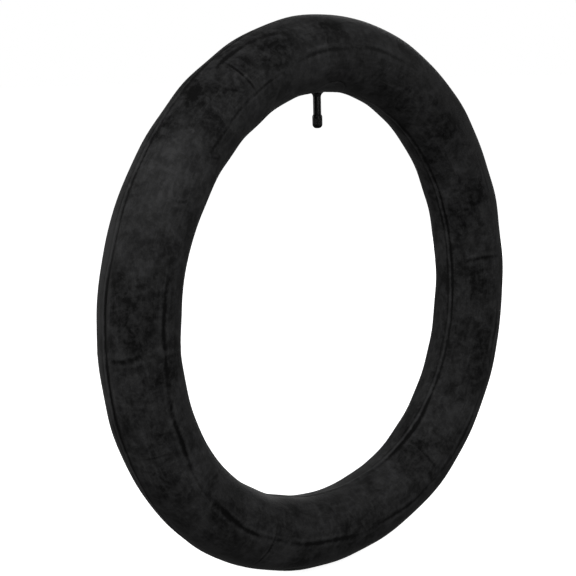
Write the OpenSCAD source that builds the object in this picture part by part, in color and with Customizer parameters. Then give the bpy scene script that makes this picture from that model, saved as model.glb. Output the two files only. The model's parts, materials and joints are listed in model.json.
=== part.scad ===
// Bicycle inner tube for a wide 20 inch tyre, lightly inflated, with a rubber-covered 8 mm car-type valve.
// The ring lies in the XZ plane with its centre at the origin, and +Y runs along the wheel's axle.
// The valve is at the top of the ring and points straight down, towards the hub.

/* [Tube] */
// Radius from the wheel's axis to the middle of the tube's round section
ring_r = 240; // [225:1:300]
// Outside radius of the inflated section
section_r = 37; // [34:0.5:44]
// Thickness of the rubber wall
wall = 1; // [0.8:0.1:2]
// Height of the moulding ribs that run round the ring
rib_h = 0.3; // [0.1:0.1:0.6]

/* [Valve stem] */
// Length of the valve, from the tube's surface to its mouth
stem_len = 31.8; // [31:0.2:48]
// Diameter over the rubber jacket
stem_d = 8; // [7.8:0.1:8.2]
// Radius of the jacket's flared foot
foot_r = 8; // [7.5:0.5:10]
// Radius of the round patch that is vulcanised on around the valve
patch_r = 28; // [20:1:30]
// Thickness of that patch
patch_t = 0.8; // [0.5:0.1:1.2]

/* [Dust cap] */
// Outside diameter of the cap
cap_d = 10; // [9.8:0.1:12]
// Number of grip grooves round the cap
cap_grooves = 18; // [8:1:24]

/* [Valve core] */
// How far the pin moves when it is pressed
pin_travel = 1.2; // [0.8:0.1:1.4]
// How far the pin's head lies inside the mouth
pin_recess = 0.8; // [0.7:0.1:0.9]
// Number of turns in the spring
spring_turns = 7; // [5:1:9]

/* [Hidden] */
$fn = 96;
ring_fn = 256;
section_fn = 192;

// The valve's pieces are drawn at the mouth: z is 0 there and grows along the valve's axis, into the tube.
mouth_z = ring_r - section_r - stem_len;
fit = 0.06;         // radial play between two pieces that turn in one another
gap = 0.02;         // play along the axis between two faces that rest on each other
eps = 0.01;         // how far a cut runs past the face that it opens

// Ribs, by their angle round the section: 0 is the tread side and 180 the rim side
rib_angles = [-5.5, 174.5];
rib_r = 2.5;

// Threads: 7.75 mm with 32 turns an inch for the cap, and 5.3 mm with 36 turns an inch for the core
cap_pitch = 25.4 / 32;
core_pitch = 25.4 / 36;
cap_thread_r = 3.86;
core_thread_r = 2.62;
thread_depth = 0.6;     // of the pitch

// Stem, in places along the axis from the mouth
lead_in = 0.6;
cap_thread_turns = 12;
neck_r = 3.3;
sleeve_r = 3;           // of the brass body inside the jacket
jacket_top = 11.1;
jacket_chamfer = 0.3;
fillet_r = foot_r - stem_d / 2;
foot_z = stem_len - patch_t;
flange_r = 4.4;
flange_t = 0.8;
flange_z = foot_z - 1.4;
air_r = 1.6;
seat_top = 7.5;         // the cone that the core's gasket closes against
seat_end = 10.5;
seat_top_r = 2.41;
seat_slope = 0.16;
chamber_end = 20;       // below here the bore narrows to the air passage
chamber_r = seat_top_r - seat_slope * (seat_end - seat_top);

// Cap
cap_edge = jacket_top - 0.3;
cap_end = -2.4;
cap_shoulder = 1.4;
cap_bore_r = cap_thread_r + fit;
cap_roof = -0.7;
cap_recess_r = 1.9;
cap_recess_z = -1.2;
groove_r = 0.3;
groove_top = 7.4;
groove_end = 0.6;
seal_t = 0.6;

// Core
pin_r = 0.45;
pin_head_r = 0.75;
pin_head_t = 0.6;
pin_end = 16.6;
plug_top = pin_recess + pin_head_t + pin_travel + 0.2;
bridge_t = 2;
bridge_w = 2.2;
plug_end = 6.8;
plug_lip = 0.7;
swivel_r = 1.52;
swivel_t = 0.6;
swivel_neck_r = 1.17;
barrel_top = 7;
barrel_r = 1.5;
barrel_end = 14.9;
shoulder_r = 2.2;
shoulder_t = 0.9;
gasket_len = 2;
lower_flange_r = 1.75;
spring_room_r = 1.18;
spring_floor = 13.1;
pin_hole_r = 0.62;
mouth_seat_r = 1.1;
collar_top = 8;
collar_t = 0.5;
collar_r = 0.98;
wire_r = 0.13;
spring_r = 0.8;
cup_r = 1.65;
cup_base = 15.7;
cup_t = 0.5;
cup_lip = 0.5;
cup_bore_r = 1.44;

module at_mouth() {
    translate([0, 0, mouth_z]) children();
}

// A solid of revolution from points given as [radius, place along the axis]
module turned(points) {
    rotate_extrude() polygon(points);
}

module bored(radius, from, to) {
    translate([0, 0, from]) cylinder(r = radius, h = to - from);
}

// Crests and roots of a thread, drawn as rings of the thread's own pitch
function thread_profile(radius, pitch, turns, start) = [
    for (i = [0 : turns - 1], p = [[0, 0], [1 / 8, 0], [1 / 2, 1], [5 / 8, 1]])
        [radius - p[1] * thread_depth * pitch, start + (i + p[0]) * pitch]
];

module ring(radius) {
    rotate([90, 0, 0]) rotate_extrude($fn = ring_fn) translate([ring_r, 0]) circle(radius, $fn = section_fn);
}

module ribbed_ring() {
    rotate([90, 0, 0]) rotate_extrude($fn = ring_fn) translate([ring_r, 0]) {
        circle(section_r, $fn = section_fn);
        for (a = rib_angles) rotate(a) translate([section_r + rib_h - rib_r, 0]) circle(rib_r);
    }
}

// The hollow butyl casing, with one hole where the valve lets air in
module tube_body() {
    color("#26272a") difference() {
        ribbed_ring();
        ring(section_r - wall);
        at_mouth() bored(air_r + 0.4, stem_len - 2, stem_len + 4);
    }
}

// The round patch that carries the stem, lying on the rim side of the casing
module valve_patch() {
    color("#2c2d30") difference() {
        intersection() {
            ring(section_r + patch_t);
            at_mouth() bored(patch_r, stem_len - 4, stem_len + section_r / 2);
        }
        ribbed_ring();
        at_mouth() bored(air_r, stem_len - 4, stem_len + 4);
    }
}

// The rubber cover of the stem, whose foot flares out onto the patch
module stem_jacket() {
    color("#1b1c1e") difference() {
        at_mouth() turned(concat(
            [[sleeve_r, jacket_top], [stem_d / 2 - jacket_chamfer, jacket_top],
                [stem_d / 2, jacket_top + jacket_chamfer]],
            [for (a = [0 : 10 : 90]) [foot_r - fillet_r * cos(a), foot_z - fillet_r + fillet_r * sin(a)]],
            [[foot_r, stem_len + 3], [air_r, stem_len + 3], [air_r, flange_z + flange_t],
                [flange_r, flange_z + flange_t], [flange_r, flange_z], [sleeve_r, flange_z]]
        ));
        ring(section_r + patch_t);
    }
}

// The brass valve body: threaded tip, smooth sleeve inside the jacket, and a flange in its foot
module stem_insert() {
    thread_end = lead_in + cap_thread_turns * cap_pitch;
    root_r = cap_thread_r - thread_depth * cap_pitch;
    color("#c9a44c") at_mouth() difference() {
        turned(concat(
            [[0, 0], [root_r, 0]],
            thread_profile(cap_thread_r, cap_pitch, cap_thread_turns, lead_in),
            [[neck_r, thread_end], [neck_r, jacket_top], [sleeve_r, jacket_top], [sleeve_r, flange_z],
                [flange_r, flange_z], [flange_r, flange_z + flange_t], [0, flange_z + flange_t]]
        ));
        turned([[0, -eps], [core_thread_r + fit + 0.4, -eps], [core_thread_r + fit, 0.4],
            [core_thread_r + fit, seat_top], [seat_top_r, seat_top], [chamber_r, seat_end],
            [chamber_r, chamber_end], [air_r, chamber_end + 0.5], [air_r, stem_len], [0, stem_len]]);
    }
}

// The threaded screw of the core: two flats leave a bridge for the valve key, and a lip holds the swivel
module core_plug() {
    turns = 5;
    color("#d4b25e") at_mouth() difference() {
        turned(concat(
            [[0, plug_top], [core_thread_r - 0.4, plug_top]],
            thread_profile(core_thread_r, core_pitch, turns, plug_top + 0.3),
            [[core_thread_r - 0.4, plug_end], [0, plug_end]]
        ));
        for (side = [-1, 1]) translate([side * (bridge_w / 2 + 2), 0, plug_top + bridge_t / 2 - eps])
            cube([4, 8, bridge_t + 2 * eps], center = true);
        bored(swivel_r + 2 * fit, plug_top + bridge_t, plug_end - plug_lip);
        bored(swivel_neck_r + fit + gap, plug_end - 1, plug_end + eps);
        bored(pin_r + 0.12, plug_top - eps, plug_top + bridge_t + eps);
    }
}

// The barrel that hangs from the screw: swivel on top, gasket seat outside, spring room inside
module core_barrel() {
    swivel_top = plug_end - plug_lip - gap * 2 - swivel_t;
    gasket_top = barrel_top + shoulder_t;
    gasket_end = gasket_top + gasket_len + 2 * gap;
    color("#c39b45") at_mouth() difference() {
        turned([[0, swivel_top], [swivel_r, swivel_top], [swivel_r, swivel_top + swivel_t],
            [swivel_neck_r, swivel_top + swivel_t], [swivel_neck_r, barrel_top], [shoulder_r, barrel_top],
            [shoulder_r, gasket_top], [barrel_r, gasket_top], [barrel_r, gasket_end],
            [lower_flange_r, gasket_end], [lower_flange_r, gasket_end + 0.5], [barrel_r, gasket_end + 0.8],
            [barrel_r, barrel_end], [0, barrel_end]]);
        bored(pin_hole_r + 0.1, swivel_top - eps, barrel_top + 0.6);
        bored(spring_room_r, barrel_top + 0.5, spring_floor);
        bored(pin_hole_r, spring_floor - eps, barrel_end);
        bored(mouth_seat_r, spring_floor + 0.8, barrel_end + eps);
    }
}

// The conical packing that seals the barrel in the stem
module core_gasket() {
    top = barrel_top + shoulder_t + gap;
    top_r = seat_top_r - seat_slope * (top - seat_top) - gap;
    color("#8e2b25") at_mouth() turned([[barrel_r, top], [top_r, top],
        [top_r - seat_slope * gasket_len, top + gasket_len], [barrel_r, top + gasket_len]]);
}

// The pin: a head to press in the mouth, and a riveted end that holds the cup
module core_pin() {
    color("#dcc079") at_mouth() turned([[0, pin_recess], [pin_head_r - 0.2, pin_recess],
        [pin_head_r, pin_recess + 0.2], [pin_head_r, pin_recess + pin_head_t - 0.2],
        [pin_r, pin_recess + pin_head_t], [pin_r, cup_base + cup_t], [pin_r + 0.25, cup_base + cup_t],
        [pin_r + 0.15, pin_end], [0, pin_end]]);
}

// The collar crimped on the pin, which the spring pushes towards the mouth
module spring_collar() {
    color("#b98f3c") at_mouth() difference() {
        bored(collar_r, collar_top, collar_top + collar_t);
        bored(pin_r, collar_top - eps, collar_top + collar_t + eps);
    }
}

// How far the spring's wire has risen after a number of turns: its end turns lie closed
function spring_rise(turn, height) = let (closed = 2 * wire_r, open = (height - 2 * closed) / (spring_turns - 2))
    turn < 1 ? turn * closed
    : turn > spring_turns - 1 ? height - (spring_turns - turn) * closed
    : closed + (turn - 1) * open;

module core_spring() {
    steps = 16;
    sides = 6;
    bottom = collar_top + collar_t + wire_r + gap;
    height = spring_floor - wire_r - gap - bottom;
    rings = spring_turns * steps;
    points = [for (i = [0 : rings], s = [0 : sides - 1]) let (turn = i / steps, round = s * 360 / sides,
        radius = spring_r + wire_r * cos(round))
        [radius * cos(turn * 360), radius * sin(turn * 360),
            bottom + spring_rise(turn, height) + wire_r * sin(round)]];
    around = [for (i = [0 : rings - 1], s = [0 : sides - 1]) let (next = (s + 1) % sides)
        [i * sides + s, (i + 1) * sides + s, (i + 1) * sides + next, i * sides + next]];
    ends = [[for (s = [0 : sides - 1]) s], [for (s = [sides - 1 : -1 : 0]) rings * sides + s]];
    color("#9aa0a6") at_mouth() polyhedron(points, concat(around, ends));
}

// The cup on the pin's end, with the rubber ring that closes the barrel's mouth
module core_cup() {
    color("#c39b45") at_mouth() difference() {
        bored(cup_r, cup_base - cup_lip, cup_base + cup_t);
        bored(cup_bore_r, cup_base - cup_lip - eps, cup_base);
        bored(pin_r, cup_base - eps, cup_base + cup_t + eps);
    }
}

module core_cup_seal() {
    color("#17181a") at_mouth() difference() {
        bored(cup_bore_r, barrel_end + gap, cup_base);
        bored(pin_r, barrel_end, cup_base + eps);
    }
}

// The washer in the cap's roof, which rests on the stem's mouth
module cap_seal() {
    color("#17181a") at_mouth() difference() {
        bored(cap_thread_r - 0.1, -gap - seal_t, -gap);
        bored(cap_recess_r, -gap - seal_t - eps, eps);
    }
}

// The screwed cap: sloping shoulder at its open edge, grip grooves, rounded end
module dust_cap() {
    nose_r = 4;
    flat_r = cap_d / 2 - nose_r;
    color("#1f2023") at_mouth() difference() {
        turned(concat(
            [[0, cap_end]],
            [for (a = [0 : 10 : 90]) [flat_r + nose_r * sin(a), cap_end + nose_r * (1 - cos(a))]],
            [[cap_d / 2, cap_edge - cap_shoulder], [cap_d / 2 - 0.6, cap_edge], [0, cap_edge]]
        ));
        bored(cap_bore_r, cap_roof, cap_edge + eps);
        bored(cap_recess_r, cap_recess_z, cap_roof + eps);
        for (i = [0 : cap_grooves - 1]) rotate(i * 360 / cap_grooves) translate([cap_d / 2 + groove_r / 3, 0, 0])
            bored(groove_r, groove_end, groove_top);
    }
}

tube_body();
valve_patch();
stem_jacket();
stem_insert();
core_plug();
core_barrel();
core_gasket();
core_pin();
spring_collar();
core_spring();
core_cup();
core_cup_seal();
cap_seal();
dust_cap();
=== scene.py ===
"""The looks of a bicycle inner tube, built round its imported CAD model.

The ring is a lightly inflated butyl tube with mould ribs, storage creases and traces of talc. The valve is
rubber-covered, with a turned brass body, a threaded core and a ribbed dust cap.

The ring lies in the XZ plane with its centre at the origin. Its front faces -Y, and the valve hangs from the
top of the ring towards the hub. A place on the ring is a pair of angles: "around" goes round the ring from +X
towards +Z, and "section" goes round the tube's own section, with 0 on the tread side, 90 on the front, 180 on
the rim side and 270 on the back. Lengths are in metres, or in millimetres where they are multiplied by MM.
The valve's pieces are drawn as on a lathe, by radius and place in millimetres, from the mouth into the tube.
"""

import json
import math

import bpy
import numpy as np
from mathutils import Matrix, Vector


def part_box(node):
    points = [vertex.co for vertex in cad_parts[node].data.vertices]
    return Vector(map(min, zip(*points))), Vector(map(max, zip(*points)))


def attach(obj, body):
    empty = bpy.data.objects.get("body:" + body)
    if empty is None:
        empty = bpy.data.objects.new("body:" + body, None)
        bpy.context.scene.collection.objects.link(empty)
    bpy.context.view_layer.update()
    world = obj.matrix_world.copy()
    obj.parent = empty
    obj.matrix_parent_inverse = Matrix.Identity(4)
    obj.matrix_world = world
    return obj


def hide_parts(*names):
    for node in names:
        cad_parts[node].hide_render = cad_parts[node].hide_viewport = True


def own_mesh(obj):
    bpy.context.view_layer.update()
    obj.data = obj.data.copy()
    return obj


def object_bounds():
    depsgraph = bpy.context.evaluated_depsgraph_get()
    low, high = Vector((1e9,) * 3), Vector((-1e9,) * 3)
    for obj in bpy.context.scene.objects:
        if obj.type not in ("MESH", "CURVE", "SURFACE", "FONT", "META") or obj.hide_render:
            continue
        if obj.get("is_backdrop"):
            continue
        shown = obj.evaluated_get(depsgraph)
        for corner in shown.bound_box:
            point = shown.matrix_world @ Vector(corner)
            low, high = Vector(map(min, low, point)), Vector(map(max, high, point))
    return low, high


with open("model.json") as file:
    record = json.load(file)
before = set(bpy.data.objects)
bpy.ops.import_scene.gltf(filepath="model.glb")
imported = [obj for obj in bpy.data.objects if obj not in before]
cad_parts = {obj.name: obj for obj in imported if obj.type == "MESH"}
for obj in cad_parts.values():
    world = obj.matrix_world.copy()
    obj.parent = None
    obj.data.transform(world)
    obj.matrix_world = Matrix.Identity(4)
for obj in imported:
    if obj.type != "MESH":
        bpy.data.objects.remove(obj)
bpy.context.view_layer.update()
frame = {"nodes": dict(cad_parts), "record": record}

MM = 0.001
FULL = 2 * math.pi


def mount(name):
    return next(m for m in frame["record"]["mounts"] if m["name"] == name)


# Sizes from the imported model
RIM_R = mount("rim_seat")["dims"]["r_mm"] * MM
TREAD_R = mount("tyre_bed")["dims"]["r_mm"] * MM
RING_R = (TREAD_R + RIM_R) / 2
SECTION_R = (TREAD_R - RIM_R) / 2
STEM_R = mount("valve_stem")["dims"]["r_mm"]
CAP_THREAD_R = mount("valve_mouth_thread")["dims"]["r_mm"]
MOUTH_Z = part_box("stem_insert")[0].z
PATCH_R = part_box("valve_patch")[1].x
CAP_LOW, CAP_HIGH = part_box("dust_cap")
WALL = 1.0 * MM
VALVE = (math.radians(90), math.radians(180))


# ---------------------------------------------------------------- the ring's shape

# A hand-inflated ring isn't quite true: waves round it as (count, cosine, sine) in millimetres
OUT_OF_ROUND = [(3, -0.6, -2.3), (4, -0.6, 0.0), (5, 0.0, 0.26)]
SIDE_SWAY = [(2, 0.0, 0.4), (4, 0.44, 0.0), (5, 0.2, 0.0)]
GIRTH = [(0, 0.35, 0.0), (1, -0.6, 0.2)]
# The mould lines twist a little round the section, in degrees
TWIST = [(2, 0.5, 0.4), (3, -0.4, 0.3), (7, 0.15, 0.1)]


def waves(angle, terms):
    return sum(c * np.cos(n * angle) + s * np.sin(n * angle) for n, c, s in terms)


def skin(around, section, rise=0.0):
    """Points on the tube's outer skin, or this far above it."""
    centre = RING_R + waves(around, OUT_OF_ROUND) * MM
    radius = SECTION_R + waves(around, GIRTH) * MM + rise
    reach = centre + radius * np.cos(section)
    across = waves(around, SIDE_SWAY) * MM - radius * np.sin(section)
    return np.stack([reach * np.cos(around), across, reach * np.sin(around)], -1)


def turn_between(a, b):
    """a - b, as an angle from -pi to pi."""
    return (a - b + math.pi) % FULL - math.pi


def distance_on_skin(around, section, place):
    """How far each point of the grid lies from a place, measured along the skin."""
    along = turn_between(around, place[0]) * (RING_R + SECTION_R * math.cos(place[1]))
    return np.hypot(along, turn_between(section, place[1]) * SECTION_R)


def smooth_step(x, low, high):
    t = np.clip((x - low) / (high - low), 0, 1)
    return t * t * (3 - 2 * t)


def random_waves(seed, count, most_around, most_section):
    """A soft random field over the ring, about 1 strong, that closes on itself both ways."""
    draw = np.random.default_rng(seed)
    arounds = draw.integers(-most_around, most_around + 1, count)
    sections = draw.integers(0, most_section + 1, count)
    phases = draw.uniform(0, FULL, count)

    def field(around, section):
        total = 0
        for a, s, p in zip(arounds, sections, phases):
            total = total + np.cos(a * around + s * section + p)
        return total * math.sqrt(2 / count)

    return field


# ---------------------------------------------------------------- mesh helpers

def grid_faces(rows, columns, first=0):
    """Quads of a grid of vertices that closes on itself both ways."""
    i, j = np.arange(rows)[:, None], np.arange(columns)[None, :]
    below, right = (i + 1) % rows, (j + 1) % columns
    corners = [i * columns + j, below * columns + j, below * columns + right, i * columns + right]
    return np.stack([np.broadcast_to(c, (rows, columns)) for c in corners], -1).reshape(-1, 4) + first


def new_piece(name, points, faces, sharp_angle=None):
    mesh = bpy.data.meshes.new(name)
    mesh.from_pydata([tuple(p) for p in points], [], [tuple(f) for f in faces])
    mesh.shade_smooth()
    if sharp_angle:
        mesh.set_sharp_from_angle(angle=math.radians(sharp_angle))
    piece = bpy.data.objects.new(name, mesh)
    bpy.context.scene.collection.objects.link(piece)
    return piece


def set_attribute(piece, name, kind, values):
    layer = piece.data.attributes.new(name, kind, "POINT")
    field = "vector" if kind == "FLOAT_VECTOR" else "value"
    layer.data.foreach_set(field, np.asarray(values, np.float32).ravel())


def place_piece(piece, body, slot, material, *nodes):
    piece.data.materials.append(material)
    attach(piece, body)
    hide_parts(*nodes)
    return piece


def rounded(corners, steps=4):
    """An outline from corners given as (radius, place, fillet); a fillet of 0 stays sharp."""
    outline = []
    for k, (r, z, fillet) in enumerate(corners):
        here = Vector((r, z))
        if not fillet:
            outline.append(here)
            continue
        before = Vector(corners[k - 1][:2]) - here
        after = Vector(corners[(k + 1) % len(corners)][:2]) - here
        a, b = here + before.normalized() * fillet, here + after.normalized() * fillet
        for step in range(steps + 1):
            t = step / steps
            outline.append(a * (1 - t) ** 2 + here * 2 * t * (1 - t) + b * t ** 2)
    return outline


def refined(outline, low, high, spacing):
    """The outline with more points between two places, so that a thread or groove can be cut there."""
    fine = []
    for here, there in zip(outline, outline[1:] + outline[:1]):
        fine.append(here)
        if min(here.y, there.y) < low - 1e-6 or max(here.y, there.y) > high + 1e-6:
            continue
        pieces = math.ceil(abs(there.y - here.y) / spacing)
        fine += [here.lerp(there, s / pieces) for s in range(1, pieces)]
    return fine


def lathe_faces(rows, columns):
    """Faces between rows of vertices, each given as its first one and its size. A row of 1 is on the axis."""
    faces = []
    for (a, size_a), (b, size_b) in zip(rows, rows[1:] + rows[:1]):
        if size_a == size_b == 1:
            continue
        for j in range(columns):
            k = (j + 1) % columns
            if size_a == 1:
                faces.append((a, b + k, b + j))
            elif size_b == 1:
                faces.append((a + j, a + k, b))
            else:
                faces.append((a + j, a + k, b + k, b + j))
    return faces


def lathe(name, outline, columns, cut=None, lift=None, sharp_angle=35):
    """A turned piece from an outline of (radius, place). The outline closes on itself or ends on the axis.

    cut(radius, place, angle) gives a row's radius again, after a thread, groove or flat is cut.
    lift(points, place) gives how far, in metres, the points of a row are raised to meet the tube.
    """
    area = sum(a.x * b.y - b.x * a.y for a, b in zip(outline, outline[1:] + outline[:1]))
    if area < 0:
        outline = outline[::-1]
    angle = np.linspace(0, FULL, columns, endpoint=False)
    points, rows = [], []
    for r, z in outline:
        size = columns if r > 1e-6 else 1
        rows.append((len(points), size))
        radius = np.full(size, r)
        if cut is not None and size > 1:
            radius = cut(radius, z, angle)
        x, y = radius * np.cos(angle[:size]), radius * np.sin(angle[:size])
        turned = np.stack([x, y, np.full(size, z)], -1) * MM
        if lift is not None:
            turned[:, 2] += lift(turned, z)
        points += list(turned + [0, 0, MOUTH_Z])
    return new_piece(name, points, lathe_faces(rows, columns), sharp_angle)


# ---------------------------------------------------------------- materials

def new_material(name):
    material = bpy.data.materials.new(name)
    material.use_nodes = True
    return material, material.node_tree, material.node_tree.nodes["Principled BSDF"]


def node(tree, kind, inputs=None, **settings):
    made = tree.nodes.new(kind)
    for key, value in settings.items():
        setattr(made, key, value)
    for key, value in (inputs or {}).items():
        if isinstance(value, bpy.types.NodeSocket):
            tree.links.new(value, made.inputs[key])
        else:
            made.inputs[key].default_value = value
    return made


def noise(tree, vector, scale, detail=3.0, roughness=0.55, distortion=0.0):
    """Noise from 0 to 1, of this many features a metre."""
    return node(tree, "ShaderNodeTexNoise", {"Vector": vector, "Scale": scale, "Detail": detail,
        "Roughness": roughness, "Distortion": distortion}).outputs["Fac"]


def ramp(tree, value, low, high, to_low=0.0, to_high=1.0):
    """value carried from the range low..high to the range to_low..to_high, smoothly and no further."""
    return node(tree, "ShaderNodeMapRange", {"Value": value, "From Min": low, "From Max": high,
        "To Min": to_low, "To Max": to_high}, interpolation_type="SMOOTHSTEP").outputs["Result"]


def math_node(tree, operation, a, b=0.0, clamp=False):
    made = node(tree, "ShaderNodeMath", {0: a, 1: b}, operation=operation)
    made.use_clamp = clamp
    return made.outputs[0]


def mix_colors(tree, share, a, b):
    made = node(tree, "ShaderNodeMix", data_type="RGBA")
    for key, value in (("Factor", share), ("A", a), ("B", b)):
        socket = next(s for s in made.inputs if s.name == key and (key == "Factor") == (s.type == "VALUE")
            and s.enabled)
        if isinstance(value, bpy.types.NodeSocket):
            tree.links.new(value, socket)
        else:
            socket.default_value = value
    return next(s for s in made.outputs if s.type == "RGBA")


def gray(value):
    return (value, value, value * 1.02, 1)


def bump(tree, heights):
    """Bumps stacked from (height, distance in metres) pairs, and the normal they give."""
    normal = None
    for height, distance in heights:
        made = node(tree, "ShaderNodeBump", {"Height": height, "Strength": 1.0, "Distance": distance})
        if normal is not None:
            tree.links.new(normal, made.inputs["Normal"])
        normal = made.outputs["Normal"]
    return normal


def object_place(tree):
    return node(tree, "ShaderNodeTexCoord").outputs["Object"]


def attribute(tree, name, output="Fac"):
    return node(tree, "ShaderNodeAttribute", attribute_name=name).outputs[output]


def butyl_material(name, dark, pale_tone):
    """Black butyl with talc rubbed into it: clouds, blotches, scuffs, streaks along the ring and specks.

    The mesh's attributes say where talc lies and where light and shade are painted, where creases are
    darkened by lost talc and painted shade, and which way the ring flows.
    """
    material, tree, shader = new_material(name)
    place = object_place(tree)
    flow = attribute(tree, "flow", "Vector")
    blotches = ramp(tree, noise(tree, place, 44, 7, 0.68, 0.4), 0.40, 0.64)
    layers = [
        (ramp(tree, noise(tree, place, 14, 4, 0.6, 0.5), 0.38, 0.66), 0.10),
        (blotches, 0.30),
        (ramp(tree, noise(tree, place, 100, 4, 0.6, 0.4), 0.42, 0.62), 0.24),
        (ramp(tree, noise(tree, place, 190, 5, 0.72, 0.3), 0.42, 0.66), 0.26),
        (ramp(tree, noise(tree, flow, 240, 5, 0.68), 0.48, 0.70), 0.18),
        (ramp(tree, noise(tree, flow, 800, 3, 0.6), 0.58, 0.72), 0.16),
        (ramp(tree, noise(tree, place, 1000, 2, 0.5), 0.60, 0.74), 0.20),
    ]
    # this attribute holds talc and also painted rim light and painted shade
    dust_and_painted_light = attribute(tree, "dust_and_painted_light")
    for layer, share in layers:
        dust_and_painted_light = math_node(tree, "ADD", dust_and_painted_light, math_node(tree, "MULTIPLY", layer, share))
    # the crease attribute darkens crease bottoms: talc lost there, and painted shade
    dust_and_painted_light = math_node(tree, "SUBTRACT", dust_and_painted_light, attribute(tree, "crease"), clamp=True)
    tree.links.new(mix_colors(tree, dust_and_painted_light, gray(dark), gray(pale_tone)), shader.inputs["Base Color"])
    tree.links.new(ramp(tree, dust_and_painted_light, 0.0, 1.0, 0.56, 0.82), shader.inputs["Roughness"])
    shader.inputs["Specular IOR Level"].default_value = 0.07
    shader.inputs["Sheen Weight"].default_value = 0.05
    shader.inputs["Sheen Roughness"].default_value = 0.3
    grain = noise(tree, place, 2600, 2, 0.5)
    ripple = noise(tree, flow, 420, 3, 0.55)
    heights = [(blotches, 0.0001), (ripple, 0.00015), (grain, 0.00004)]
    tree.links.new(bump(tree, heights), shader.inputs["Normal"])
    return material


def plain_rubber(name, dark, light, roughness, specular):
    """Moulded rubber or plastic: an even colour with faint clouds and a fine grain."""
    material, tree, shader = new_material(name)
    place = object_place(tree)
    clouds = ramp(tree, noise(tree, place, 300, 4, 0.6, 0.5), 0.35, 0.75)
    tree.links.new(mix_colors(tree, clouds, dark, light), shader.inputs["Base Color"])
    tree.links.new(ramp(tree, clouds, 0.0, 1.0, roughness, roughness + 0.10), shader.inputs["Roughness"])
    shader.inputs["Specular IOR Level"].default_value = specular
    tree.links.new(bump(tree, [(noise(tree, place, 3000, 2, 0.5), 0.000006)]), shader.inputs["Normal"])
    return material


def turned_metal(name, color, tarnish, roughness):
    """Turned metal: fine tool rings along the axis, and tarnish in patches."""
    material, tree, shader = new_material(name)
    place = object_place(tree)
    stretched = node(tree, "ShaderNodeMapping", {"Vector": place, "Scale": (0.05, 0.05, 1)}).outputs["Vector"]
    rings = noise(tree, stretched, 14000, 2, 0.6)
    patches = ramp(tree, noise(tree, place, 420, 5, 0.65, 0.4), 0.42, 0.75)
    tree.links.new(mix_colors(tree, patches, (*color, 1), (*tarnish, 1)), shader.inputs["Base Color"])
    tree.links.new(ramp(tree, patches, 0.0, 1.0, roughness, roughness + 0.22), shader.inputs["Roughness"])
    shader.inputs["Metallic"].default_value = 1.0
    tree.links.new(bump(tree, [(rings, 0.00001)]), shader.inputs["Normal"])
    return material


# ---------------------------------------------------------------- the tube

# Mould ribs on the tread side and the rim side, in degrees, with 1 or -1 for the way to the front. A furrow
# runs along both edges of a rib, pressed in and darkened with painted shade, and the one towards the front is
# the deeper.
RIBS = [(-5.5, 1), (174.5, -1)]
RIB_RISE = 0.4 * MM
RIB_HALF_WIDTH = 1.3 * MM
FURROW_OFFSET = 2.8 * MM
FURROW_HALF_WIDTH = 1.2 * MM
# How deep the furrows are round the ring and how much painted shade darkens them, as waves
FURROW_SHADE = [(0, 0.46, 0.0), (2, 0.18, 0.0), (7, 0.10, 0.06), (12, 0.06, -0.08)]
# The grid of the outer skin, and the coarser one of the wall's inner face
AROUND_STEPS = 1280
SECTION_STEP = 1.2 * MM
INNER_ROWS, INNER_COLUMNS = 240, 48
# The cross line where the casing was spliced
SPLICE = math.radians(183.5)
SPLICE_RISE = 0.18 * MM
SPLICE_HALF_WIDTH = 1.6 * MM
# Soft swells all over the skin, and how far outside the patch they and the creases come in
SWELL = 0.28 * MM
CALM_BY_PATCH = 14 * MM
# Streaks of talc run along the ring: lengths that way count for a tenth in the pattern
STREAK = 0.1

# Creases left by flat storage: a path of (around, section) in degrees, half width and depth in millimetres.
# Each crease tapers at its ends, its strength beats along it, and it wanders a little across its path.
CREASE_SEED = 7
CREASE_STEP = 0.6 * MM
CREASE_TAPER, TAPER_POINTS = 0.3, 60
CREASE_WANDER = 0.6
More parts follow.
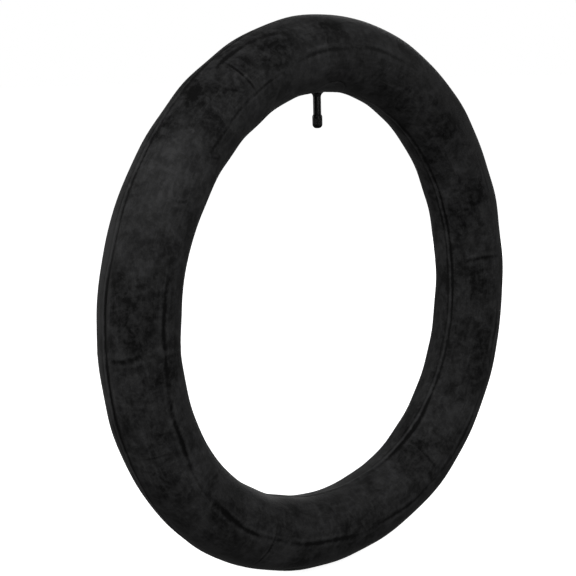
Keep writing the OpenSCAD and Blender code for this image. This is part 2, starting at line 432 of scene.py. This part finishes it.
# The lips beside a crease and the paler edges beyond them, in half widths from its middle
LIP_OFFSET, LIP_SHARE, PALE_EDGE_OFFSET = 2.1, 0.35, 2.4
CREASES = [
    # the long fold of the flattened tube, nearly all the way round the front
    ([(165, 86), (190, 85), (208, 82), (225, 81), (240, 82), (256, 85), (280, 85), (300, 83), (330, 82),
        (356, 84)], 1.7, 0.42),
    ([(206, 78), (216, 79), (228, 85)], 1.0, 0.24),
    ([(268, 88), (280, 90), (292, 88)], 1.0, 0.2),
    ([(60, 80), (76, 81), (92, 83), (108, 83)], 1.7, 0.4),
    ([(110, 84), (128, 85), (145, 86), (162, 86)], 1.1, 0.2),
    ([(4, 84), (18, 82), (36, 81)], 1.3, 0.26),
    # furrows that the fold deepened beside the mould ribs, darkened with painted shade
    ([(162, -2), (176, -1), (190, -1), (206, -2)], 1.8, 0.55),
    ([(288, 169), (300, 168), (312, 168), (326, 170)], 1.6, 0.5),
    # short folds at the top of the ring, left of the valve
    ([(103, 44), (105, 33), (110, 24), (118, 17), (125, 16)], 1.9, 0.5),
    ([(120, 2), (120, 40), (120, 75), (120, 118)], 1.0, 0.35),
    ([(127, 84), (118, 85), (105, 90)], 1.0, 0.35),
    ([(116, 96), (113, 110), (115, 128)], 0.9, 0.3),
    ([(140, 84), (139, 94), (138, 106)], 1.0, 0.3),
    # a pucker at the bottom of the ring
    ([(252, 22), (256, 34), (261, 38)], 2.4, 1.1),
    ([(257, 14), (262, 27), (268, 34)], 1.8, 0.8),
    ([(246, 30), (252, 44), (255, 56)], 1.1, 0.4),
    # where the ring was folded across
    ([(183, -10), (184, 20), (183, 60), (184, 95), (184, 130)], 1.7, 0.3),
    ([(243, 16), (243, 50), (243, 85), (242, 130)], 1.1, 0.4),
    ([(306, 172), (305, 150), (304, 120), (304, 90)], 1.6, 0.5),
    ([(3, 62), (4, 95), (4, 130), (3, 160)], 1.7, 0.28),
    ([(204, 15), (204, 40), (204, 66)], 0.8, 0.2),
    ([(279, 92), (280, 115), (280, 140)], 0.8, 0.22),
    ([(94, 54), (95, 80), (94, 112)], 0.9, 0.2),
    # the back
    ([(150, 272), (128, 268), (104, 274), (80, 271), (60, 266), (38, 272), (14, 276), (-12, 271)], 1.3, 0.5),
    ([(176, 268), (204, 273), (228, 270), (252, 265), (276, 272), (300, 274), (322, 268)], 1.2, 0.45),
    ([(183, 200), (184, 240), (183, 280), (184, 330)], 1.0, 0.35),
    ([(2, 205), (3, 240), (2, 285), (4, 325)], 1.0, 0.35),
    ([(66, 235), (60, 262), (63, 300)], 1.1, 0.35),
    ([(232, 226), (240, 252), (236, 292)], 1.1, 0.35),
    ([(118, 242), (112, 262), (117, 300), (114, 328)], 1.1, 0.35),
    ([(318, 232), (312, 270), (316, 310)], 1.0, 0.3),
]

# Talc all over the ring, how much its soft waves add or take, how much talc the ribs catch and how much paler
# the crease edges are.
# The crease bottoms are darkened: partly talc lost there, partly painted shade.
DUST_LEVEL, DUST_WAVES = -0.045, 0.05
DUST_ON_RIBS, CREASE_EDGE_PALING, CREASE_DARKENING = 0.25, 0.6, 1.5
# Where talc shows or is rubbed off, and where light and shade are painted: (around, section) in degrees,
# radius in millimetres, strength
DUST_AND_PAINTED_LIGHT = [
    # pale; at (165, -16), (122 to 236, 112 to 118) and (268 to 296, 184 to 186) this is painted rim light
    # along the edges
    (145, 36, 30, 0.20), (152, 62, 36, 0.16), (141, 56, 24, 0.14), (157, 40, 30, 0.14),
    (104, 104, 24, 0.18), (98, 78, 24, 0.12), (320, 146, 26, 0.14), (165, -16, 22, 0.20),
    (249, 54, 18, 0.26), (230, 52, 18, 0.18), (72, 104, 40, 0.12), (290, 150, 34, 0.20),
    (215, 60, 60, 0.07), (262, 40, 50, 0.06), (28, 148, 18, 0.16), (122, 118, 26, 0.16),
    (146, 112, 26, 0.14), (212, 112, 30, 0.14), (236, 118, 26, 0.16), (268, 184, 14, 0.20),
    (282, 186, 14, 0.30), (296, 186, 14, 0.26), (16, 58, 20, 0.10), (54, 130, 24, 0.22),
    (34, 140, 20, 0.18),
    # darker; at (52, 192), (255, 30) and (248, 152) this is painted shade: the shadowed inner edge, the
    # underside and a lamp-lit spot
    (46, 62, 34, -0.30), (248, 152, 20, -0.30), (66, 76, 26, -0.26), (28, 72, 26, -0.10),
    (4, 80, 22, -0.16), (170, 12, 26, -0.12), (202, 26, 26, -0.10), (358, 138, 30, -0.08),
    (134, 60, 10, -0.16), (108, 60, 15, -0.34), (130, 20, 12, -0.30), (118, 20, 14, -0.18),
    (226, 58, 20, -0.10), (58, 162, 14, -0.05), (52, 192, 14, -0.34), (255, 30, 16, -0.60),
    (186, 74, 22, -0.08), (345, 190, 26, -0.16), (90, 36, 26, -0.22), (240, 132, 18, -0.15),
    # the back
    (60, 290, 40, 0.24), (200, 300, 46, 0.26), (320, 262, 36, 0.20), (262, 300, 40, -0.20),
    (120, 300, 40, -0.16),
]


def section_lines():
    """The grid's section angles: evenly spaced, and closer together over each mould rib."""
    even = np.arange(0, FULL, SECTION_STEP / SECTION_R)
    reach = (FURROW_OFFSET + 2 * FURROW_HALF_WIDTH) / SECTION_R
    profile = np.linspace(-reach, reach, 17)
    ribs = [math.radians(middle) for middle, _ in RIBS]
    clear = np.all([abs(turn_between(even, rib)) > reach + 0.6 * MM / SECTION_R for rib in ribs], axis=0)
    return np.sort(np.concatenate([even[clear], *(rib + profile for rib in ribs)]) % FULL)


def smooth_path(path, spacing):
    """Close points along a smooth curve through places given in degrees, in radians."""
    knots = np.radians(np.array(path, float))
    knots = np.vstack([2 * knots[0] - knots[1], knots, 2 * knots[-1] - knots[-2]])
    points = []
    for a, b, c, d in zip(knots, knots[1:], knots[2:], knots[3:]):
        length = np.hypot(*((c - b) * (RING_R, SECTION_R)))
        t = np.linspace(0, 1, max(2, math.ceil(length / spacing)), endpoint=False)[:, None]
        square, cube = 2 * a - 5 * b + 4 * c - d, 3 * b - a - 3 * c + d
        points.append(b + ((c - a) * t + square * t ** 2 + cube * t ** 3) / 2)
    return np.vstack(points)


def small_creases(seed, count):
    """Faint short creases all over the ring, as (path, half width, depth)."""
    draw = np.random.default_rng(seed)
    made = []
    for _ in range(count):
        a, s = draw.uniform(0, 360), draw.uniform(0, 360)
        heading, bend = draw.uniform(0, FULL), draw.uniform(-0.5, 0.5)
        length = draw.uniform(12, 42)
        path = [(a, s)]
        for _ in range(3):
            a += math.degrees(length / 3 * math.cos(heading) * MM / RING_R)
            s += math.degrees(length / 3 * math.sin(heading) * MM / SECTION_R)
            heading += bend
            path.append((a, s))
        made.append((path, draw.uniform(0.7, 1.3), draw.uniform(0.08, 0.22)))
    return made


def along_crease(draw, count):
    """How strong a crease is at each of its points, and how far each lies off its path, as an angle."""
    share = np.linspace(0, 1, count)
    taper = min(CREASE_TAPER, TAPER_POINTS / count)
    strength = smooth_step(share, 0, taper) * smooth_step(1 - share, 0, taper)
    beat = np.sin(share * count / draw.uniform(18, 40) + draw.uniform(0, FULL))
    bends = np.sin(share * count / draw.uniform(14, 24) + draw.uniform(0, FULL))
    return strength * (0.62 + 0.38 * beat), CREASE_WANDER * bends * MM / SECTION_R


def spread_crease(around, section, lines, points, strength, reach):
    """How far each point of the grid lies from a crease, within its reach, and how strong it is there."""
    step = FULL / AROUND_STEPS
    near, power = np.full(around.shape, 1.0), np.zeros(around.shape)
    for (a, s), p in zip(points, strength):
        across = RING_R + SECTION_R * math.cos(s)
        span = math.ceil(reach / (across * step))
        rows = (round(a / step) + np.arange(-span, span + 1)) % AROUND_STEPS
        columns = np.flatnonzero(abs(turn_between(lines, s)) < reach / SECTION_R + math.radians(2))
        block = np.ix_(rows, columns)
        along = turn_between(around[block], a) * across
        far = np.hypot(along, turn_between(section[block], s) * SECTION_R)
        closer = far < near[block]
        near[block] = np.where(closer, far, near[block])
        power[block] = np.where(closer, p, power[block])
    return near, power


def crease_relief(around, section, lines):
    """How deep the creases press into the skin, how dark their bottoms are from lost talc and painted shade,
    and how pale their edges.
    """
    pressed, creased, edged = np.zeros(around.shape), np.zeros(around.shape), np.zeros(around.shape)
    draw = np.random.default_rng(CREASE_SEED)
    for path, half_width, depth in CREASES + small_creases(seed=19, count=90):
        width = half_width * MM
        points = smooth_path(path, CREASE_STEP)
        strength, wander = along_crease(draw, len(points))
        points[:, 1] += wander
        near, power = spread_crease(around, section, lines, points, strength, 5 * width)
        bottom = np.exp(-(near / width) ** 2)
        lips = np.exp(-((near - LIP_OFFSET * width) / width) ** 2)
        edges = np.exp(-((near - PALE_EDGE_OFFSET * width) / width) ** 2)
        pressed += power * depth * MM * (bottom - LIP_SHARE * lips)
        creased = np.maximum(creased, power * depth * bottom)
        edged = np.maximum(edged, power * depth * edges)
    return pressed, creased, edged


def dust_and_painted_light_field(around, section):
    soft_waves = random_waves(seed=31, count=60, most_around=24, most_section=5)
    total = DUST_LEVEL + DUST_WAVES * soft_waves(around, section)
    for a, s, radius, strength in DUST_AND_PAINTED_LIGHT:
        far = distance_on_skin(around, section, (math.radians(a), math.radians(s)))
        total = total + strength * np.exp(-(far / (radius * MM)) ** 2)
    return total


def mould_ribs(lines):
    """How much each section line lies on a mould rib, and how much in the furrows beside it."""
    ribs, furrows = np.zeros(len(lines)), np.zeros(len(lines))
    for middle, to_front in RIBS:
        off = to_front * turn_between(lines, math.radians(middle)) * SECTION_R
        ribs += np.exp(-(off / RIB_HALF_WIDTH) ** 2)
        furrows += np.exp(-((off - FURROW_OFFSET) / FURROW_HALF_WIDTH) ** 2)
        furrows += 0.5 * np.exp(-((off + FURROW_OFFSET) / FURROW_HALF_WIDTH) ** 2)
    return ribs, furrows


def build_tube(material):
    """The inflated casing: a ribbed and creased outer skin, and the inner face of its wall."""
    lines = section_lines()
    steps = np.arange(AROUND_STEPS) * FULL / AROUND_STEPS
    around = np.repeat(steps[:, None], len(lines), 1)
    section = lines[None, :] + np.radians(waves(steps, TWIST))[:, None]
    pressed, creased, edged = crease_relief(around, section, lines)
    swells = random_waves(seed=3, count=70, most_around=30, most_section=5)
    relief = SWELL * swells(around, section) - pressed
    ribs, furrows = mould_ribs(lines)
    ribs, furrows = ribs * (1 - creased), furrows * waves(around, FURROW_SHADE)
    splice = np.exp(-(turn_between(around, SPLICE) * RING_R / SPLICE_HALF_WIDTH) ** 2)
    relief += RIB_RISE * (ribs - 0.5 * furrows) + SPLICE_RISE * splice
    past_patch = distance_on_skin(around, section, VALVE) - PATCH_R
    relief *= smooth_step(past_patch, 0, CALM_BY_PATCH)
    bare_rim = 0.6 * np.exp(-((past_patch - 0.5 * MM) / (0.9 * MM)) ** 2)
    outside = skin(around, section, relief)
    flow = np.stack([np.hypot(outside[..., 0], outside[..., 2]), outside[..., 1],
        STREAK * RING_R * turn_between(around, SPLICE + math.pi)], -1)

    a = np.arange(INNER_ROWS)[:, None] * FULL / INNER_ROWS + np.zeros(INNER_COLUMNS)
    s = np.arange(INNER_COLUMNS) * FULL / INNER_COLUMNS + np.zeros((INNER_ROWS, 1))
    inside = skin(a, s, -WALL)
    points = np.vstack([outside.reshape(-1, 3), inside.reshape(-1, 3)])
    lining = grid_faces(INNER_ROWS, INNER_COLUMNS, around.size)[:, ::-1]
    faces = np.vstack([grid_faces(AROUND_STEPS, len(lines)), lining])
    tube = new_piece("tube_casing", points, faces)
    blank = np.zeros(inside.shape[:2])
    # talc, with painted light and shade from the table, talc on ribs, paler crease edges, and painted shade
    # in the furrows
    dust_and_painted_light = dust_and_painted_light_field(around, section) + DUST_ON_RIBS * ribs + CREASE_EDGE_PALING * edged - furrows
    # crease bottoms darkened by lost talc and painted shade, and a darker ring just outside the patch
    bare_and_shaded = np.maximum(CREASE_DARKENING * creased, bare_rim)
    set_attribute(tube, "crease", "FLOAT", np.concatenate([bare_and_shaded.ravel(), blank.ravel()]))
    set_attribute(tube, "dust_and_painted_light", "FLOAT", np.concatenate([dust_and_painted_light.ravel(), blank.ravel()]))
    set_attribute(tube, "flow", "FLOAT_VECTOR", np.vstack([flow.reshape(-1, 3), inside.reshape(-1, 3)]))
    return place_piece(tube, "tube", "butyl", material, "tube_body")


def skin_height(x, y):
    """How high the rim side of the tube lies over a point beside the valve's axis."""
    around, section = VALVE[0] - x / RIM_R, VALVE[1] + y / SECTION_R
    for _ in range(4):
        point = skin(around, section)
        around = around + (point[..., 0] - x) / RIM_R
        section = section - (point[..., 1] - y) / SECTION_R
    return skin(around, section)[..., 2]


def build_patch(material):
    """The round patch under the stem: thickest in the middle, with a low step and some talc at its edge."""
    rings, columns, hole_r, sunk = 36, 144, 3.4 * MM, 0.4 * MM
    crown, edge_step = 0.4 * MM, 0.25 * MM
    far = np.linspace(hole_r, PATCH_R, rings)
    angle = np.arange(columns) * FULL / columns
    far, angle = np.meshgrid(far, angle, indexing="ij")
    around = VALVE[0] + far * np.cos(angle) / RIM_R
    section = VALVE[1] + far * np.sin(angle) / SECTION_R
    share = far / PATCH_R
    rise = crown * (1 - smooth_step(share, 0.6, 0.95)) + edge_step * (1 - smooth_step(share, 0.97, 1.0))
    top, under = skin(around, section, rise), skin(around, section, -sunk)
    points = np.vstack([top.reshape(-1, 3), under[::-1].reshape(-1, 3)])
    patch = new_piece("valve_base_patch", points, grid_faces(2 * rings, columns), 40)
    flow = np.stack([np.hypot(points[:, 0], points[:, 2]), points[:, 1], STREAK * points[:, 0]], -1)
    set_attribute(patch, "flow", "FLOAT_VECTOR", flow)
    set_attribute(patch, "crease", "FLOAT", np.zeros(len(points)))
    edge = 0.10 + 0.3 * np.exp(-((share - 0.965) / 0.02) ** 2)
    set_attribute(patch, "dust_and_painted_light", "FLOAT", np.concatenate([edge.ravel(), np.zeros(edge.size)]))
    return place_piece(patch, "tube", "butyl_patch", material, "valve_patch")


# ---------------------------------------------------------------- the valve

STEM_LENGTH = (RIM_R - MOUTH_Z) / MM
PATCH_THICKNESS = 0.8
PLAY = 0.06
# Where the rubber cover starts: just past the cap's open edge
COVER_TOP = (CAP_HIGH.z - MOUTH_Z) / MM + PLAY
# The brass body inside the rubber: its sleeve, and the flange that the foot holds
SLEEVE_R, NECK_R = 3.0, 3.3
FLANGE_R, FLANGE_THICKNESS = 4.4, 0.8
FLANGE = STEM_LENGTH - PATCH_THICKNESS - 1.4
AIR_R = 1.6
# Threads: 32 turns an inch for the cap, and 36 for the core
CAP_PITCH, CORE_PITCH = 25.4 / 32, 25.4 / 36
CORE_THREAD_R = 2.62
THREAD_DEPTH = 0.6      # of the pitch


def is_at(radius, value):
    """Whether a row of the outline lies at this radius."""
    return abs(radius[0] - value) < 1e-4


def thread(place, angle, pitch):
    """1 on the crest of a right-hand thread and 0 at its root."""
    turn = (place / pitch - angle / FULL) % 1
    return np.interp(turn, [0, 1 / 8, 1 / 2, 5 / 8, 1], [1, 1, 0, 0, 1])


def reach_for_skin(points, place):
    """The foot of the stem is moved up to the hand-inflated skin, and its flare follows the skin's curve."""
    share = smooth_step(place, STEM_LENGTH - 11, STEM_LENGTH - 2)
    middle = skin_height(np.zeros(1), np.zeros(1))
    flare = smooth_step(np.hypot(points[:, 0], points[:, 1]), STEM_R * MM, 2 * STEM_R * MM)
    return share * (middle - RIM_R + flare * (skin_height(points[:, 0], points[:, 1]) - middle))


def arc(middle, radius, start, end, steps=10):
    """Points of an arc in the plane of radius and place, from and to these angles in degrees."""
    turns = [math.radians(start + (end - start) * k / steps) for k in range(steps + 1)]
    return [(middle[0] + radius * math.cos(t), middle[1] + radius * math.sin(t), 0) for t in turns]


def build_jacket(material):
    """The rubber cover: a smooth stem with a faint mould line down each side, and a foot that flares out."""
    top, foot = COVER_TOP, STEM_LENGTH - PATCH_THICKNESS
    lip_r, lip = 3.75, top - 0.3
    flare_r, flare_end = 4.0, foot + 0.4
    line_rise, line_half_width = 0.07, 0.22
    flange_end = FLANGE + FLANGE_THICKNESS
    corners = [(SLEEVE_R, top, 0), (NECK_R, top, 0), (NECK_R, lip, 0), (lip_r, lip, 0.1), (lip_r, top, 0),
        (STEM_R, top, 0.12), *arc((STEM_R + flare_r, foot - flare_r), flare_r, 180, 90, 14),
        (STEM_R + flare_r, flare_end, 0), (AIR_R, flare_end, 0), (AIR_R, flange_end, 0),
        (FLANGE_R, flange_end, 0), (FLANGE_R, FLANGE, 0), (SLEEVE_R, FLANGE, 0)]
    outline = refined(rounded(corners), top + 0.2, foot, 0.9)

    def cut(radius, place, angle):
        if radius[0] < STEM_R - 0.1 or place > foot - 1:
            return radius
        return radius + line_rise * np.exp(-(np.sin(angle) * STEM_R / line_half_width) ** 2)

    jacket = lathe("stem_cover", outline, 128, cut, reach_for_skin)
    return place_piece(jacket, "tube", "stem_rubber", material, "stem_jacket")


def build_insert(material):
    """The brass body: cap thread outside, core thread inside, a sleeve, and a flange held by the rubber."""
    thread_end, flange_end = COVER_TOP - 0.3, FLANGE + FLANGE_THICKNESS
    bore_r, bore_end, chamfer = CORE_THREAD_R + PLAY, 7.5, 0.4
    seat_r, chamber_r, seat_end, chamber_end = 2.41, 1.93, 10.5, 20
    lead_r, lead_slope, bore_thread = 3.34, 0.9, 0.4
    corners = [(bore_r + chamfer, 0, 0), (CAP_THREAD_R, 0, 0), (CAP_THREAD_R, thread_end, 0),
        (NECK_R, thread_end, 0), (NECK_R, COVER_TOP, 0), (SLEEVE_R, COVER_TOP, 0), (SLEEVE_R, FLANGE, 0),
        (FLANGE_R, FLANGE, 0), (FLANGE_R, flange_end, 0), (AIR_R, flange_end, 0),
        (AIR_R, chamber_end + 0.5, 0), (chamber_r, chamber_end, 0), (chamber_r, seat_end, 0),
        (seat_r, bore_end, 0), (bore_r, bore_end, 0), (bore_r, chamfer, 0)]
    outline = refined(refined(rounded(corners), 0, thread_end, CAP_PITCH / 12), COVER_TOP, FLANGE, 1.0)

    def cut(radius, place, angle):
        if is_at(radius, CAP_THREAD_R):
            cap_thread = CAP_THREAD_R - THREAD_DEPTH * CAP_PITCH * (1 - thread(place, angle, CAP_PITCH))
            ends = min(lead_r + lead_slope * place, NECK_R + lead_slope * (thread_end - place))
            return np.minimum(cap_thread, ends)
        if is_at(radius, bore_r):
            fade = smooth_step(place, 0.4, 1.0) * smooth_step(-place, -6.6, -6.0)
            return radius - bore_thread * fade * (1 - thread(place, angle, CORE_PITCH))
        return radius

    insert = lathe("stem_body", outline, 96, cut, reach_for_skin)
    return place_piece(insert, "tube", "brass", material, "stem_insert")


def build_cap(material):
    """The dust cap: rounded end, ribbed grip, sloping shoulder at the open edge, and a thread inside."""
    low, high, outer = (CAP_LOW.z - MOUTH_Z) / MM, (CAP_HIGH.z - MOUTH_Z) / MM, 5.0
    nose, bore_r, roof, shoulder, chamfer = 4.0, CAP_THREAD_R + PLAY, -0.7, 1.4, 0.25
    recess_r, recess = 1.9, roof - 0.5
    ribs, rib_low, rib_high = 18, 0.4, high - 3.1
    groove_depth, groove_half_width, bore_thread = 0.3, 0.2, 0.43
    corners = [(0, low, 0), *arc((outer - nose, low + nose), nose, -90, 0, 16),
        (outer, high - shoulder, 0.5), (outer - 0.6, high, 0.15), (bore_r + chamfer, high, 0),
        (bore_r, high - chamfer, 0), (bore_r, roof, 0), (recess_r, roof, 0), (recess_r, recess, 0),
        (0, recess, 0)]
    outline = refined(rounded(corners), low, high, CAP_PITCH / 10)

    def cut(radius, place, angle):
        if radius[0] > outer - 0.5:
            across = (np.arange(len(angle)) * ribs / len(angle)) % 1 - 0.5
            fade = smooth_step(place, rib_low - 0.5, rib_low + 0.6)
            fade = fade * smooth_step(-place, -rib_high, 0.6 - rib_high)
            return radius - groove_depth * fade * np.exp(-(across / groove_half_width) ** 2)
        if is_at(radius, bore_r):
            fade = smooth_step(place, 0, 0.6) * smooth_step(-place, 2.4 - high, 3.0 - high)
            return radius - bore_thread * fade * (1 - thread(place, angle, CAP_PITCH))
        return radius

    cap = lathe("ribbed_dust_cap", outline, 14 * ribs, cut)
    return place_piece(cap, "cap", "cap_plastic", material, "dust_cap")


def build_plug(material):
    """The core's screw: a threaded collar with two flats that leave a bridge for the valve key."""
    low, bridge_end, high, lip = 2.8, 4.8, 6.8, 0.7
    bridge_half, hole_r, room_r, lip_r = 1.1, 0.57, 1.64, 1.25
    start_r = CORE_THREAD_R - 0.4
    corners = [(hole_r, low, 0), (start_r, low, 0.15), (CORE_THREAD_R, low + 0.3, 0),
        (CORE_THREAD_R, high - 0.2, 0), (start_r, high, 0), (lip_r, high, 0), (lip_r, high - lip, 0),
        (room_r, high - lip, 0), (room_r, bridge_end, 0), (hole_r, bridge_end, 0)]
    outline = refined(rounded(corners), low, high, CORE_PITCH / 12)

    def cut(radius, place, angle):
        if radius[0] < start_r - 0.2:
            return radius
        threaded = CORE_THREAD_R - THREAD_DEPTH * CORE_PITCH * (1 - thread(place, angle, CORE_PITCH))
        radius = np.minimum(radius, threaded)
        if place < bridge_end:
            radius = np.minimum(radius, bridge_half / np.maximum(np.abs(np.cos(angle)), 0.05))
        return radius

    plug = lathe("core_screw_head", outline, 120, cut)
    return place_piece(plug, "core_screw", "core_brass", material, "core_plug")


def build_spring(material):
    """The core's spring: seven turns of wire, closed at both ends."""
    turns, steps, sides, wire_r, coil_r = 7, 40, 12, 0.13, 0.8
    collar, floor, gap, length, travel = 8.5, 13.1, 0.02, 4.6, 1.2
    low, high = collar + gap + wire_r, floor - gap - wire_r
    turn = np.arange(turns * steps + 1) / steps
    rise = np.interp(turn, [0, 1, turns - 1, turns], [low, low + 2 * wire_r, high - 2 * wire_r, high])
    rows = []
    for t, z in zip(turn * FULL, rise):
        around = np.arange(sides) * FULL / sides
        radius = coil_r + wire_r * np.cos(around)
        rows.append(np.stack([radius * np.cos(t), radius * np.sin(t), z + wire_r * np.sin(around)], -1))
    points = np.vstack(rows) * MM + [0, 0, MOUTH_Z]
    faces = [tuple(f) for f in grid_faces(len(rows), sides)[:-sides, ::-1]]
    faces += [tuple(range(sides)), tuple(range(len(points) - 1, len(points) - 1 - sides, -1))]
    spring = new_piece("core_spring_wire", points, faces, 50)
    place_piece(spring, "core", "spring_steel", material, "core_spring")
    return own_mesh(spring)


def finish_nodes(names, material):
    for name in names:
        mesh_object = frame["nodes"][name]
        mesh_object.data.materials.clear()
        mesh_object.data.materials.append(material)


# ---------------------------------------------------------------- stage, lights and camera

def stage_material(name, paint, glow):
    material, tree, shader = new_material(name)
    shader.inputs["Base Color"].default_value = (paint, paint, paint, 1)
    shader.inputs["Roughness"].default_value = 0.9
    shader.inputs["Specular IOR Level"].default_value = 0.0
    shader.inputs["Emission Color"].default_value = (1, 1, 1, 1)
    shader.inputs["Emission Strength"].default_value = glow
    return material


def build_stage(height):
    """A wide pale floor, and a white backdrop all round that adds no light of its own to the object."""
    size, steps, bands = 12, 96, 24
    turns = [k * FULL / steps for k in range(steps)]
    ring = [(size * math.cos(t), size * math.sin(t), height) for t in turns]
    floor = new_piece("floor", ring, [tuple(range(steps))])
    floor.data.materials.append(stage_material("floor_paper", 0.85, 0.90))
    floor.visible_diffuse = floor.visible_glossy = False
    floor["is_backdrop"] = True
    falls = [math.pi * (k + 0.5) / bands for k in range(bands)]
    shell = [2 * size * Vector((math.sin(f) * math.cos(t), math.sin(f) * math.sin(t), math.cos(f)))
        for f in falls for t in turns]
    backdrop = new_piece("backdrop", shell, grid_faces(bands, steps)[:-steps])
    backdrop.data.materials.append(stage_material("backdrop_paper", 0, 1))
    for seen_by in ("diffuse", "glossy", "transmission", "shadow", "volume_scatter"):
        setattr(backdrop, "visible_" + seen_by, False)
    backdrop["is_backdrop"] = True


def add_light(name, direction, distance, width, height, power):
    """A soft panel light that shines on the origin from a direction."""
    lamp = bpy.data.lights.new(name, "AREA")
    lamp.shape, lamp.size, lamp.size_y, lamp.energy = "RECTANGLE", width, height, power
    light = bpy.data.objects.new(name, lamp)
    away = Vector(direction).normalized()
    light.location = away * distance
    light.rotation_mode = "QUATERNION"
    light.rotation_quaternion = away.to_track_quat("Z", "Y")
    light.visible_camera = False
    bpy.context.scene.collection.objects.link(light)


def add_world(strength):
    world = bpy.data.worlds.new("studio")
    world.use_nodes = True
    background = world.node_tree.nodes["Background"]
    background.inputs["Color"].default_value = (1, 1, 1, 1)
    background.inputs["Strength"].default_value = strength
    bpy.context.scene.world = world


def add_camera():
    """The camera stands to the left of the ring's front, a little above its middle, aimed near its centre."""
    azimuth, elevation, distance = math.radians(-46.76), math.radians(9.62), 1.7015
    yaw, pitch, roll = math.radians(1.1), math.radians(0.34), math.radians(-1.13)
    back = Vector((math.sin(azimuth) * math.cos(elevation), -math.cos(azimuth) * math.cos(elevation),
        math.sin(elevation)))
    right = Vector((math.cos(azimuth), math.sin(azimuth), 0))
    look = Matrix((right, back.cross(right), back)).transposed()
    aim = Matrix.Rotation(yaw, 3, "Y") @ Matrix.Rotation(pitch, 3, "X") @ Matrix.Rotation(roll, 3, "Z")
    camera = bpy.data.objects.new("camera", bpy.data.cameras.new("camera"))
    camera.data.sensor_width, camera.data.lens = 36, 106.4
    camera.matrix_world = Matrix.Translation(back * distance) @ (look @ aim).to_4x4()
    bpy.context.scene.collection.objects.link(camera)
    bpy.context.scene.camera = camera


# ---------------------------------------------------------------- the scene

add_camera()

# butyl colours: the pale tone shows talc and painted rim light, the dark tone also painted shade
butyl = butyl_material("butyl_talc_and_painted_light", 0.0026, 0.039)
patch_rubber = butyl_material("butyl_patch_rubber", 0.0026, 0.039)
stem_rubber = plain_rubber("stem_rubber", gray(0.0010), gray(0.0025), 0.20, 0.28)
cap_plastic = plain_rubber("cap_plastic", gray(0.0010), gray(0.0025), 0.20, 0.16)
seal_rubber = plain_rubber("seal_rubber", gray(0.010), gray(0.022), 0.55, 0.3)
gasket_rubber = plain_rubber("gasket_red", (0.30, 0.030, 0.022, 1), (0.36, 0.055, 0.040, 1), 0.5, 0.35)
brass = turned_metal("turned_brass", (0.72, 0.50, 0.21), (0.42, 0.27, 0.11), 0.26)
core_brass = turned_metal("core_brass", (0.78, 0.58, 0.28), (0.50, 0.34, 0.15), 0.22)
spring_steel = turned_metal("spring_steel", (0.55, 0.55, 0.57), (0.36, 0.35, 0.34), 0.25)

build_tube(butyl)
build_patch(patch_rubber)
build_jacket(stem_rubber)
build_insert(brass)
build_cap(cap_plastic)
build_plug(core_brass)
build_spring(spring_steel)
finish_nodes(["core_barrel", "core_pin", "spring_collar", "core_cup"], core_brass)
finish_nodes(["core_gasket"], gasket_rubber)
finish_nodes(["core_cup_seal", "cap_seal"], seal_rubber)

build_stage(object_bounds()[0].z)
add_world(0.17)
add_light("key", (-0.85, -0.35, 0.65), 2.2, 1.2, 1.2, 22)
add_light("top", (0.1, 0.0, 1.0), 2.4, 1.4, 1.4, 5)
add_light("front", (-0.30, -0.95, 0.28), 2.4, 0.35, 1.8, 13)
add_light("left", (-0.98, 0.20, 0.28), 2.4, 0.35, 1.8, 5)
add_light("right", (0.90, -0.45, 0.28), 2.4, 0.35, 1.8, 10)
add_light("back", (-0.45, 0.90, 0.20), 2.4, 1.2, 1.2, 14)
add_light("back_right", (0.85, 0.55, 0.25), 2.4, 0.8, 1.6, 7)
bpy.context.scene.view_settings.view_transform = "Standard"
